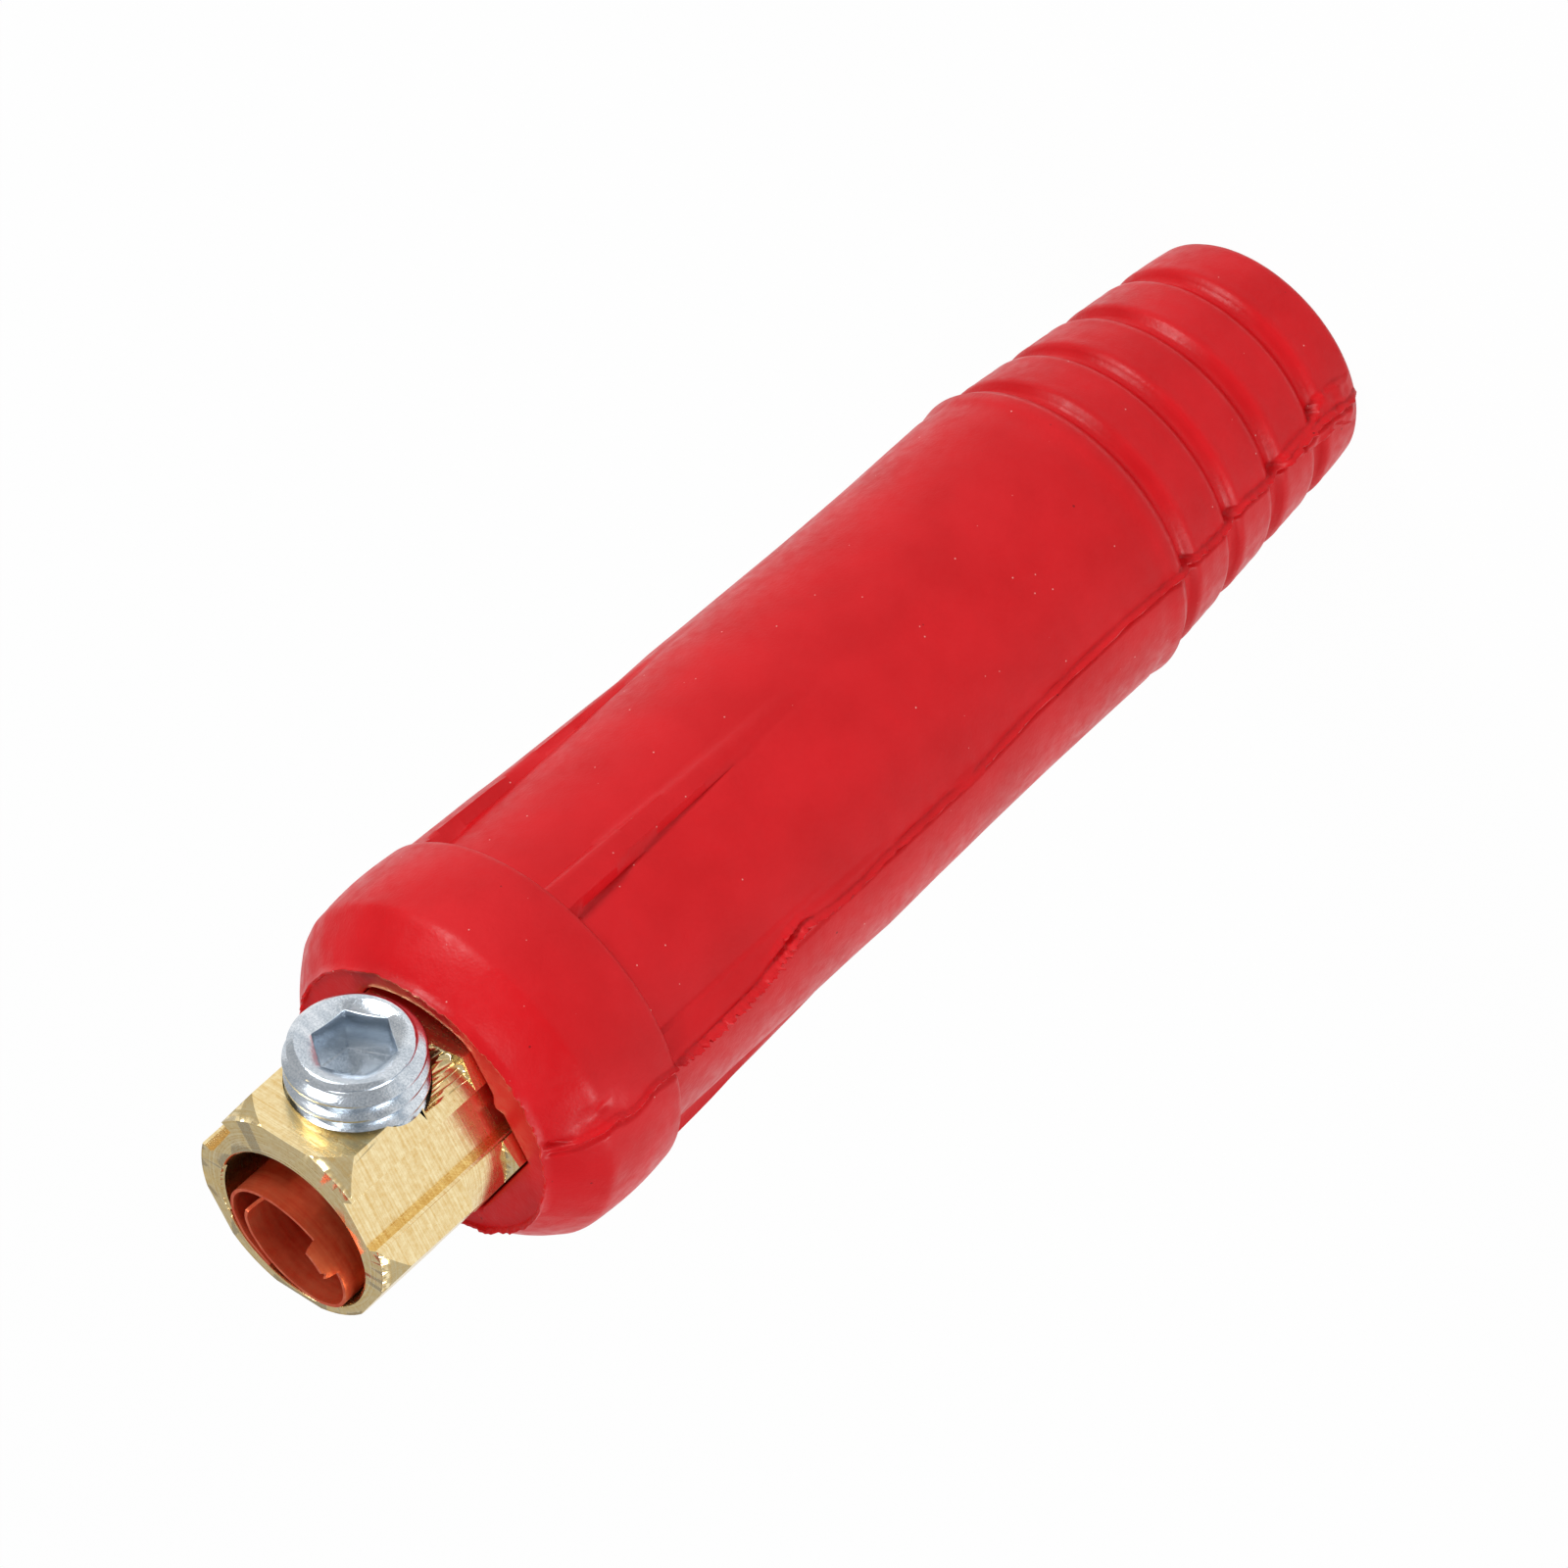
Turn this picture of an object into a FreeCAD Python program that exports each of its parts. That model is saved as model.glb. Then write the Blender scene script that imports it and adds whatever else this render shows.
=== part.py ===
import FreeCAD
import Part

# Welding cable plug: a moulded rubber boot, a brass core, its clamping screw and a rolled copper liner.
# Millimetres. +Z runs along the plug's axis, towards the brass cable clamp. z = 0 is the flat face of
# the ribbed end, which the plug stands on. The clamping screw points to -Y. The core sits in the boot
# the wrong way round, clamp outwards and contact pin inwards, as such plugs are sold.

import math
import os

from FreeCAD import Vector

# Boot, outside. Radii are from the axis, heights from the ribbed end. Between the waist and the neck
# the body flares: halfway up it has won this share of the gain in radius.
END_RING_R = 11.8
END_RING_LENGTH = 6.4
END_CHAMFER = 0.7
GROOVE_COUNT = 4
GROOVE_PITCH = 6.9
GROOVE_DEPTH = 0.64
TAIL_R = 14.75
TAIL_SHOULDER = 3.9
TAIL_SHOULDER_DROP = 0.27
WAIST_Z = 47.0
NECK_R = 16.5
FLARE_SHARE = 0.42
COLLAR_Z = 98.2
COLLAR_LENGTH = 8.9
COLLAR_R = 17.22
COLLAR_CROWN = 0.37
BEVEL_LENGTH = 4.5
LIP_R = 13.4
LIP_WALL = 0.35
LIP_HEIGHT = 0.4

# Boot, panels between the raised ribs of its front half.
PANEL_COUNT = 6
PANEL_R = 15.2
PANEL_RUN = 40.0
RIB_WIDTH_FRONT = 3.6
RIB_WIDTH_REAR = 1.6
RIB_ANGLE = 15.5

# Boot, inside. Its mouth is a hexagonal socket, rounded out on the screw's side, with two low keys.
MOUTH_R = 11.3
SOCKET_DEPTH = 17.2
PASSAGE_R = 8.4
GRIP_R = 7.8
GRIP_LENGTH = 24.0
GRIP_TAPER = 2.0
KEY_WIDTH = 1.8

# Brass core, from hexagon bar: the clamp, a turned waist and a flange that sits in the boot's mouth.
CORE_PROUD = 16.3
HEX_AF = 19.0
HEX_LENGTH = 10.1
FACE_R = 9.8
FACE_CHAMFER = 2.26
HEX_REAR_CHAMFER = 0.35
TURNED_R = 9.8
TURNED_LENGTH = 5.2
FLANGE_LENGTH = 6.0
FLANGE_FACE_DROP = 0.3
FLANGE_BEVEL = 0.8
CHANNEL_ANGLE = 60.0
CHANNEL_WIDTH = 4.8
CHANNEL_DEPTH = 1.1
CHANNEL_LEDGE_WIDTH = 0.35
CHANNEL_LEDGE_HEIGHT = 0.12
CHANNEL_EDGE_CHAMFER = 0.25
BORE_R = 7.6
BORE_OFFSET = 1.4
BORE_DEPTH = 14.0
BORE_CHAMFER = 0.25
PIN_R = 6.5
PIN_LENGTH = 21.9
PIN_TIP_CHAMFER = 1.2
CAM_R = 8.8
CAM_WIDTH = 6.0
CAM_LENGTH = 6.0

# Clamping screw, M12 with a socket for a 6 mm key, its axis across the core.
SCREW_R = 6.0
SCREW_LENGTH = 10.0
SCREW_PROUD = 4.5
SCREW_FROM_FACE = 8.9
SCREW_RIM_CHAMFER = 0.7
SCREW_TIP_CHAMFER = 1.0
SOCKET_AF = 6.3
SOCKET_LENGTH = 5.0
SOCKET_TURN = -6.0
SOCKET_SINK_R = 4.4
SOCKET_SINK_DEPTH = 0.4

# Copper liner, one sheet rolled to an oval.
LINER_A = 6.5
LINER_B = 4.52
LINER_TILT = -25.5
LINER_X = -0.05
LINER_SIDE_GAP = 1.7
LINER_THICKNESS = 0.3
LINER_PROUD = 0.8
LINER_START = 85.0
LINER_SWEEP = 460.0
LINER_CURL_START = 200.0
LINER_CURL = 2.0
LINER_TAB_FROM = 188.0
LINER_TAB_TO = 217.0
LINER_TAB_HEIGHT = 1.3
LINER_STEP = 45.0

# Fits.
MOUTH_CLEARANCE = 0.15
KEY_CLEARANCE = 0.65
THREAD_CLEARANCE = 0.05

# How far cutting tools reach past what they cut.
OVERCUT = 1.0

# Places worked out from the sizes above.
COLLAR_EDGE_R = COLLAR_R - COLLAR_CROWN
BOOT_LENGTH = COLLAR_Z + COLLAR_LENGTH + BEVEL_LENGTH
BOOT_FACE_Z = BOOT_LENGTH - LIP_HEIGHT
SEAT_Z = BOOT_FACE_Z - SOCKET_DEPTH
GROOVE_Z = [END_RING_LENGTH + i * GROOVE_PITCH for i in range(GROOVE_COUNT)]
TAIL_Z = GROOVE_Z[-1] + TAIL_SHOULDER
FACE_Z = BOOT_FACE_Z + CORE_PROUD
HEX_REAR_Z = FACE_Z - HEX_LENGTH
FLANGE_Z = HEX_REAR_Z - TURNED_LENGTH
CORE_REAR_Z = FLANGE_Z - FLANGE_LENGTH
CORE_BODY = FACE_Z - CORE_REAR_Z
HEX_CORNER_R = HEX_AF / math.sqrt(3.0)
CHANNEL_APOTHEM = HEX_AF / 2.0 - CHANNEL_DEPTH
MOUTH_APOTHEM = HEX_AF / 2.0 + MOUTH_CLEARANCE
KEY_APOTHEM = CHANNEL_APOTHEM + KEY_CLEARANCE
PIN_TIP_Z = CORE_REAR_Z - PIN_LENGTH
SCREW_Z = FACE_Z - SCREW_FROM_FACE
SCREW_TOP_Y = -(HEX_AF / 2.0 + SCREW_PROUD)
BORE_FLOOR_Z = FACE_Z - BORE_DEPTH
LINER_Y = BORE_OFFSET + LINER_SIDE_GAP


def profile_point(radius, height):
    """A point of a turned profile, in the XZ plane."""
    return Vector(radius, 0, height)


def line(start, end):
    return Part.LineSegment(start, end).toShape()


def arc(start, middle, end):
    return Part.Arc(start, middle, end).toShape()


def polyline(points):
    return [line(a, b) for a, b in zip(points[:-1], points[1:])]


def turned(edges):
    """Solid of revolution about Z from the edges of a closed profile."""
    face = Part.Face(Part.Wire(edges))
    return face.revolve(Vector(0, 0, 0), Vector(0, 0, 1), 360)


def around(shape, angle):
    """The shape turned about the plug's axis. Angles run from the screw side, -Y, towards -X."""
    copy = shape.copy()
    copy.rotate(Vector(0, 0, 0), Vector(0, 0, 1), -angle)
    return copy


def hexagon_prism(across_flats, height, turn=0.0):
    """Hexagonal bar along Z from z = 0, with one flat facing -Y before it is turned."""
    corner_r = across_flats / math.sqrt(3.0)
    angles = [math.radians(60.0 * i + turn) for i in range(6)]
    corners = [Vector(corner_r * math.cos(a), corner_r * math.sin(a), 0) for a in angles]
    return Part.Face(Part.makePolygon(corners + corners[:1])).extrude(Vector(0, 0, height))


def rib_line_radius(height):
    """Radius of the line that the tail's ribs and end ring reach, at a height."""
    return END_RING_R + (TAIL_R - END_RING_R) * height / TAIL_Z


def boot_outline():
    """Outer profile of the boot, from the end face up to the lip's inner foot."""
    end_edge = profile_point(END_RING_R - END_CHAMFER, 0)
    end_side = profile_point(END_RING_R, END_CHAMFER)
    edges = [line(end_edge, end_side)]

    last = end_side
    for groove_z in GROOVE_Z:
        middle_z = (last.z + groove_z) / 2.0
        valley = profile_point(rib_line_radius(groove_z) - GROOVE_DEPTH, groove_z)
        edges.append(arc(last, profile_point(rib_line_radius(middle_z), middle_z), valley))
        last = valley
    tail = profile_point(TAIL_R, TAIL_Z)
    shoulder = profile_point(TAIL_R - TAIL_SHOULDER_DROP, last.z + TAIL_SHOULDER / 3.0)
    edges.append(arc(last, shoulder, tail))

    neck = profile_point(NECK_R, COLLAR_Z)
    waist = profile_point(TAIL_R, WAIST_Z)
    flare = profile_point(TAIL_R + FLARE_SHARE * (NECK_R - TAIL_R), (WAIST_Z + COLLAR_Z) / 2.0)
    edges.append(line(tail, waist))
    edges.append(arc(waist, flare, neck))

    collar_rear = profile_point(COLLAR_EDGE_R, COLLAR_Z)
    collar_front = profile_point(COLLAR_EDGE_R, COLLAR_Z + COLLAR_LENGTH)
    crown = profile_point(COLLAR_R, COLLAR_Z + COLLAR_LENGTH / 2.0)
    lip = profile_point(LIP_R, BOOT_LENGTH)
    edges.append(line(neck, collar_rear))
    edges.append(arc(collar_rear, crown, collar_front))
    lip_inner = profile_point(LIP_R - LIP_WALL, BOOT_LENGTH)
    lip_foot = profile_point(LIP_R - LIP_WALL, BOOT_FACE_Z)
    edges.extend(polyline([collar_front, lip, lip_inner, lip_foot]))
    return edges, end_edge, lip_foot


def panel_cutter():
    """Tool that recesses the panel facing -Y. Its floor is a cylinder, so the panel fades out rearwards."""
    past_r = COLLAR_R + OVERCUT
    corners = []
    for height, rib_width in ((COLLAR_Z - PANEL_RUN, RIB_WIDTH_REAR), (COLLAR_Z, RIB_WIDTH_FRONT)):
        half_angle = math.pi / PANEL_COUNT - rib_width / 2.0 / PANEL_R
        corners.append((PANEL_R * math.sin(half_angle), height))
    outline = [Vector(x, -past_r, z) for x, z in corners] + [Vector(-x, -past_r, z) for x, z in corners[::-1]]
    prism = Part.Face(Part.makePolygon(outline + outline[:1])).extrude(Vector(0, past_r, 0))
    return prism.cut(Part.makeCylinder(PANEL_R, BOOT_LENGTH))


def mouth_cutter():
    """Socket for the core's hexagon: five flats, an arc on the screw's side, and the two keys left standing."""
    corner_r = MOUTH_APOTHEM / math.cos(math.pi / 6.0)
    corners = [around(Part.Vertex(0, -corner_r, SEAT_Z), 30.0 + 60.0 * i).Point for i in range(6)]
    bulge = Vector(0, -MOUTH_R, SEAT_Z)
    outline = Part.Wire(polyline(corners) + [arc(corners[-1], bulge, corners[0])])
    socket = Part.Face(outline).extrude(Vector(0, 0, SOCKET_DEPTH + OVERCUT))
    key_corner = Vector(-KEY_WIDTH / 2.0, -MOUTH_APOTHEM - OVERCUT, SEAT_Z)
    key = Part.makeBox(KEY_WIDTH, MOUTH_APOTHEM + OVERCUT - KEY_APOTHEM, SOCKET_DEPTH, key_corner)
    return socket.cut([around(key, CHANNEL_ANGLE), around(key, -CHANNEL_ANGLE)])


def rubber_boot():
    edges, end_edge, lip_foot = boot_outline()
    inside = [
        lip_foot,
        profile_point(PASSAGE_R, BOOT_FACE_Z),
        profile_point(PASSAGE_R, GRIP_LENGTH + GRIP_TAPER),
        profile_point(GRIP_R, GRIP_LENGTH),
        profile_point(GRIP_R, 0),
        end_edge,
    ]
    boot = turned(edges + polyline(inside))

    rib_pitch = 360.0 / PANEL_COUNT
    for i in range(PANEL_COUNT):
        boot = boot.cut(around(panel_cutter(), RIB_ANGLE + rib_pitch * (i + 0.5)))
    return boot.cut(mouth_cutter()).removeSplitter()


def core_blank():
    """Hexagon bar turned down: chamfered face, full hexagon, round waist, and a hexagonal flange."""
    past_corner = HEX_CORNER_R + OVERCUT
    past_drop = FACE_CHAMFER * (past_corner - FACE_R) / (HEX_CORNER_R - FACE_R)
    flange_past_drop = FLANGE_FACE_DROP * (past_corner - TURNED_R) / (HEX_CORNER_R - TURNED_R)
    outline = [
        profile_point(0, CORE_REAR_Z),
        profile_point(HEX_CORNER_R - FLANGE_BEVEL, CORE_REAR_Z),
        profile_point(past_corner, CORE_REAR_Z + FLANGE_BEVEL + past_corner - HEX_CORNER_R),
        profile_point(past_corner, FLANGE_Z - flange_past_drop),
        profile_point(TURNED_R, FLANGE_Z),
        profile_point(TURNED_R, HEX_REAR_Z),
        profile_point(HEX_CORNER_R - HEX_REAR_CHAMFER, HEX_REAR_Z),
        profile_point(past_corner, HEX_REAR_Z + HEX_REAR_CHAMFER + past_corner - HEX_CORNER_R),
        profile_point(past_corner, FACE_Z - past_drop),
        profile_point(FACE_R, FACE_Z),
        profile_point(0, FACE_Z),
    ]
    bar = hexagon_prism(HEX_AF, CORE_BODY)
    bar.translate(Vector(0, 0, CORE_REAR_Z))
    return bar.common(turned(polyline(outline + outline[:1])))


def channel_cutter():
    """Milled channel over the flat that faces -Y, with a narrow ledge and a broken edge on one side."""
    half = CHANNEL_WIDTH / 2.0
    flat = HEX_AF / 2.0
    past = HEX_CORNER_R + OVERCUT
    ledge_apothem = CHANNEL_APOTHEM + CHANNEL_LEDGE_HEIGHT
    section = [
        (half, CHANNEL_APOTHEM),
        (-half + CHANNEL_LEDGE_WIDTH, CHANNEL_APOTHEM),
        (-half + CHANNEL_LEDGE_WIDTH, ledge_apothem),
        (-half, ledge_apothem),
        (-half, flat - CHANNEL_EDGE_CHAMFER),
        (-half - CHANNEL_EDGE_CHAMFER, flat),
        (-half - CHANNEL_EDGE_CHAMFER, past),
        (half, past),
    ]
    points = [Vector(x, -apothem, CORE_REAR_Z - OVERCUT) for x, apothem in section]
    return Part.Face(Part.makePolygon(points + points[:1])).extrude(Vector(0, 0, CORE_BODY + 2 * OVERCUT))


def brass_core():
    core = core_blank()
    right = channel_cutter()
    left = right.mirror(Vector(0, 0, 0), Vector(1, 0, 0))
    core = core.cut([around(right, CHANNEL_ANGLE), around(left, -CHANNEL_ANGLE)])

    pin = Part.makeCylinder(PIN_R, PIN_LENGTH - PIN_TIP_CHAMFER, Vector(0, 0, PIN_TIP_Z + PIN_TIP_CHAMFER))
    tip = Part.makeCone(PIN_R - PIN_TIP_CHAMFER, PIN_R, PIN_TIP_CHAMFER, Vector(0, 0, PIN_TIP_Z))
    cam_block = Part.makeBox(CAM_R, CAM_WIDTH, CAM_LENGTH, Vector(0, -CAM_WIDTH / 2.0, SEAT_Z))
    cam = cam_block.common(Part.makeCylinder(CAM_R, CAM_LENGTH, Vector(0, 0, SEAT_Z)))
    core = core.fuse([pin, tip, cam])

    bore = Part.makeCylinder(BORE_R, BORE_DEPTH, Vector(0, BORE_OFFSET, BORE_FLOOR_Z))
    bore_edge = Part.makeCone(BORE_R, BORE_R + BORE_CHAMFER, BORE_CHAMFER,
                              Vector(0, BORE_OFFSET, FACE_Z - BORE_CHAMFER))
    hole_r = SCREW_R + THREAD_CLEARANCE
    hole = Part.makeCylinder(hole_r, HEX_CORNER_R, Vector(0, 0, SCREW_Z), Vector(0, -1, 0))
    return core.cut([bore, bore_edge, hole]).removeSplitter()


def set_screw():
    """Threadless blank of the clamping screw, its top towards -Y."""
    flat_rim_r = SCREW_R - SCREW_RIM_CHAMFER
    tip_r = SCREW_R - SCREW_TIP_CHAMFER
    outline = [
        profile_point(0, 0),
        profile_point(tip_r, 0),
        profile_point(SCREW_R, SCREW_TIP_CHAMFER),
        profile_point(SCREW_R, SCREW_LENGTH - SCREW_RIM_CHAMFER),
        profile_point(flat_rim_r, SCREW_LENGTH),
        profile_point(0, SCREW_LENGTH),
    ]
    screw = turned(polyline(outline + outline[:1]))
    socket = hexagon_prism(SOCKET_AF, SOCKET_LENGTH, 90.0 + SOCKET_TURN)
    socket.translate(Vector(0, 0, SCREW_LENGTH - SOCKET_LENGTH))
    sink = Part.makeCone(SOCKET_AF / 2.0, SOCKET_SINK_R, SOCKET_SINK_DEPTH,
                         Vector(0, 0, SCREW_LENGTH - SOCKET_SINK_DEPTH))
    screw = screw.cut([socket, sink])
    screw.rotate(Vector(0, 0, 0), Vector(1, 0, 0), 90)
    screw.translate(Vector(0, SCREW_TOP_Y + SCREW_LENGTH, SCREW_Z))
    return screw


def liner_point(sweep, inset, height):
    """Point of the rolled sheet: the oval at one sweep angle, drawn inwards as the sheet curls in."""
    curl = max(0.0, (sweep - LINER_CURL_START) / (LINER_SWEEP - LINER_CURL_START))
    inwards = inset + LINER_CURL * curl ** 2
    angle = math.radians(LINER_START - sweep)
    along = (LINER_A - inwards) * math.cos(angle)
    across = (LINER_B - inwards) * math.sin(angle)
    tilt = math.radians(LINER_TILT)
    x = LINER_X + along * math.cos(tilt) - across * math.sin(tilt)
    y = LINER_Y + along * math.sin(tilt) + across * math.cos(tilt)
    return Vector(x, y, height)


def liner_path(start, end, inset, height):
    """One side of the sheet between two sweep angles, as arcs end to end."""
    count = max(1, int(math.ceil((end - start) / LINER_STEP)))
    step = (end - start) / count
    path = []
    for i in range(count):
        sweeps = (start + i * step, start + (i + 0.5) * step, start + (i + 1) * step)
        path.append(arc(*[liner_point(sweep, inset, height) for sweep in sweeps]))
    return path


def liner_sheet(start, end, low_z, high_z):
    """The stretch of the rolled sheet between two sweep angles, as a wall of one thickness."""
    outer = liner_path(start, end, 0.0, low_z)
    inner = liner_path(start, end, LINER_THICKNESS, low_z)
    ends = [line(liner_point(s, 0.0, low_z), liner_point(s, LINER_THICKNESS, low_z)) for s in (start, end)]
    wire = Part.Wire(outer + [ends[1]] + inner[::-1] + [ends[0]])
    return Part.Face(wire).extrude(Vector(0, 0, high_z - low_z))


def copper_liner():
    rim_z = FACE_Z + LINER_PROUD
    tab_z = rim_z + LINER_TAB_HEIGHT
    stretches = [
        (0.0, LINER_TAB_FROM, rim_z),
        (LINER_TAB_FROM, LINER_TAB_TO, tab_z),
        (LINER_TAB_TO, LINER_SWEEP, rim_z),
    ]
    pieces = [liner_sheet(start, end, BORE_FLOOR_Z, top) for start, end, top in stretches]
    return pieces[0].fuse(pieces[1:]).removeSplitter()


def main():
    os.makedirs("parts", exist_ok=True)
    pieces = {
        "rubber_boot": rubber_boot(),
        "brass_core": brass_core(),
        "set_screw": set_screw(),
        "copper_liner": copper_liner(),
    }
    for name, shape in pieces.items():
        print(name, len(shape.Solids), shape.isValid(), round(shape.Volume, 1))
        shape.exportStep("parts/" + name + ".step")


main()
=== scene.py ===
import math

import bpy
from mathutils import Euler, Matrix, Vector, noise


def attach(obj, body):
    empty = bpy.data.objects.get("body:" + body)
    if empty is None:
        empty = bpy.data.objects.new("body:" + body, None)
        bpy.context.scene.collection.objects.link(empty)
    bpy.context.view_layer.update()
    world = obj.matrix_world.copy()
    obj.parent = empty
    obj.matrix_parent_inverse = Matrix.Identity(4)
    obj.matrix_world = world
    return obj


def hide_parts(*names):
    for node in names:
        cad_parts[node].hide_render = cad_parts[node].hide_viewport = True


# Welding cable plug, in metres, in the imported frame: +Z along the plug's axis, the clamping screw to -Y.
# Angles round the plug run from the screw side, -Y, towards -X, which is the side that the camera sees.
# Sizes below are in millimetres and angles in degrees.

MM = 0.001
# A hexagon's side, seen from its middle.
HEX_SIDE = 60.0
# Points of a mesh nearer than this, in metres, become one.
MERGE_DISTANCE = 1e-6
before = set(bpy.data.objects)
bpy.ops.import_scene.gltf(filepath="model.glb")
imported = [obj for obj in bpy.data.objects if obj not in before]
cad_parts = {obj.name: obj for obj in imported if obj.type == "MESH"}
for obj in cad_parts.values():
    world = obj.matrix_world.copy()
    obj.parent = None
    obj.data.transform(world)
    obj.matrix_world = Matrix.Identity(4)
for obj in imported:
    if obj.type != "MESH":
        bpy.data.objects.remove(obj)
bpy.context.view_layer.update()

# Camera, matched to the photograph: it looks down on the clamp end from the screw side.
EYE = (-363.62, -586.66, 482.12)
EYE_TURN = (-47.9417, 39.5011, 178.1061)
FOCAL_LENGTH = 219.4
SENSOR_WIDTH = 36.0

# Studio, in metres and watts but for the floor's small drop: a white floor and room, and soft lamps.
FLOOR_SIZE = 4.0
FLOOR_DROP = 0.02
LAMP_TARGET = (0, 0, 0.07)
# The floor's share of plain white and the room's strength: seen, mirrored in shiny things, and as lighting.
FLOOR_WHITENESS = (0.98, 0.84, 0.0)
ROOM_LEVELS = (1.0, 0.5, 0.24)
LAMPS = (
    ("key", (0.36, -0.85, 0.4), (0.25, 0.4), 5.6),
    ("fill", (-0.95, 0.2, 0.3), (0.3, 0.5), 4.4),
    ("front", (-0.16, -0.2, 1.0), (0.25, 0.25), 2.2),
)

# Boot, outside, from the ribbed end up: radius against height, as in the solids.
END_R = 11.8
END_ROUNDING = 0.8
GROOVES = (6.4, 13.3, 20.2, 27.1)
GROOVE_DEPTH = 0.72
GROOVE_FLOOR = 0.25
GROOVE_REACH = 1.15
GROOVE_EDGE = 0.06
GROOVE_EDGE_OUT = 0.4
GROOVE_EDGE_HALF_WIDTH = 0.7
RING_BULGE = 0.14
RING_DROP = 0.12
TAIL_TOP = 31.0
TAIL_R = 14.75
LAST_RING_RISE = 0.45
LAST_RING_FLANK = 1.6
LAST_RING_END = 28.7
BODY_RADII = ((31.0, 14.75), (47.0, 14.75), (62.4, 15.1), (77.7, 15.66), (98.2, 16.5))
COLLAR_REAR = 98.2
COLLAR_FRONT = 107.1
COLLAR_EDGE_R = 16.82
COLLAR_CROWN = 0.3
MOUTH_FACE = 111.2
BEVEL_CROWN = 0.2
BEVEL_FOOT_R = 13.4
LIP_HEIGHT = 0.45
LIP_LEAST = 0.15
LIP_WALL = 0.3
# The lip is torn higher round this angle: centre and half width.
LIP_TEAR = (128.0, 38.0)

# Boot, inside.
MOUTH_R = 11.3
MOUTH_APOTHEM = 9.65
MOUTH_ROUNDING = 0.5
SEAT = 94.0
PASSAGE_R = 8.4
GRIP_R = 7.8
GRIP_LENGTH = 24.0
BORE_CHAMFER = 0.3
SCREW_SIDE_ANGLE = 30.0
SCREW_SIDE_BLEND = 26.0
KEY_ANGLE = 60.0
KEY_HEIGHT = 0.62
KEY_GENTLE_SIDE = 1.5
KEY_STEEP_SIDE = 0.65

# Panels and ribs of the boot's front half.
PANEL_R = 15.2
PANEL_REAR_RISE = 0.1
PANEL_RUN_OUT = (75.0, 60.0)
RIB_ANGLE = 15.5
RIB_PITCH = 60.0
RIB_REAR = 58.0
RIB_RUN_OUT = 8.0
RIB_SOFT_START = 1.4
RIB_SOFT_END = 1.1
CREASE_FADE = 0.5
CREASE_REAR_FADE = 1.1
CREASE_SHARPENS = (84.0, 66.0)
CREASE_DEPTH = 0.16
CREASE_HALF_WIDTH = 1.5
CREASE_RUN_IN = (60.0, 72.0)
RIB_SOFT_SIDE = ((58.0, 1.2), (69.0, 3.2), (78.0, 4.6), (90.0, 6.0), (98.2, 6.6))
RIB_CREASED_SIDE = ((58.0, 0.3), (69.0, 0.6), (80.0, 2.3), (89.0, 3.3), (95.0, 4.3), (98.2, 5.0))

# Mould parting line, down two ribs: its angle against height, and the edge of the rib that it cuts.
PARTING = (
    (0.0, 77.0), (5.0, 73.0), (9.0, 72.5), (12.0, 74.2), (15.0, 74.8), (18.0, 73.2), (22.0, 75.4),
    (27.0, 74.1), (36.0, 72.8), (43.0, 73.4), (49.5, 74.0), (57.0, 76.4), (64.0, 76.0), (69.0, 75.7),
    (73.0, 76.6), (77.0, 75.5), (80.3, 73.2), (83.0, 75.0), (87.0, 77.4), (93.0, 77.7), (98.0, 76.9),
    (101.0, 74.5), (104.0, 76.6), (106.2, 74.6), (109.3, 77.2), (110.6, 77.6), (112.0, 72.0),
)
PARTING_ANGLE = 75.5
PARTED_RIB_EDGE = -8.0
PARTED_RIB_DROP = 0.8
PARTED_RIB_STEP = 0.3
PARTED_RIB_SLOPE = 0.7
PARTED_RIB_START = (72.0, 84.0)
SERRATION_PITCH = 0.9
SERRATION_START = (80.0, 84.0)

# Flash and what was torn off it. A name in ALONG or OFF holds a centre and a half width, along the plug or
# off the parting line. One in TRIM, START or END holds where a gradual change begins and ends.
FLASH_NEAR_ANGLE = 24.0
FLASH_REACH = 17.55
FLASH_HEIGHT = 0.78
FLASH_TRIMMED = 0.25
FLASH_TRIM = (96.0, 98.5)
FLASH_OFF = (0.0, 0.34)
GUTTER_DEPTH = 0.36
GUTTER_OFF = (0.6, 0.42)
SAW_HEIGHT = 0.5
SAW_OFF = (0.1, 0.36)
SAW_START = (80.0, 86.0)
SAW_END = (97.0, 98.2)
FIN_HEIGHT = 0.4
FIN_ALONG = (58.3, 2.2)
FIN_OFF = (-0.25, 0.7)
TEAR_ALONG = (82.0, 4.2)
TEAR_LIP_HEIGHT = 0.38
TEAR_LIP_OFF = (-0.9, 0.45)
TEAR_PIT_DEPTH = 0.25
TEAR_PIT_OFF = (-0.4, 0.3)
DENT_DEPTH = 0.5
DENT_ALONG = (107.0, 3.4)
DENT_OFF = (-1.4, 1.6)
NOTCH_ALONG = (110.3, 1.0)
NOTCH_OFF = (-0.25, 0.7)
BRIDGE_SHARE = 0.7
BRIDGE_HALF_LENGTH = 1.4
BRIDGE_OFF = (0.0, 0.5)

# Rubber smeared over the tail's first groove: its two edges, as angles against height.
SMEAR_UPPER = ((0.8, 66.0), (3.9, 62.9), (5.4, 63.0), (6.2, 67.3), (8.0, 69.4), (12.0, 69.6), (13.0, 73.0))
SMEAR_LOWER = ((0.8, 91.0), (1.3, 91.0), (4.3, 80.5), (6.3, 84.0), (10.8, 76.4), (13.0, 75.0))
SMEAR_TOP = 14.0
SMEAR_START = (0.3, 2.2)
SMEAR_END = (11.8, 12.8)
SMEAR_EDGE = 0.35
SMEAR_FILL = 0.9
SMEAR_HEIGHT = 0.5

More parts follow.
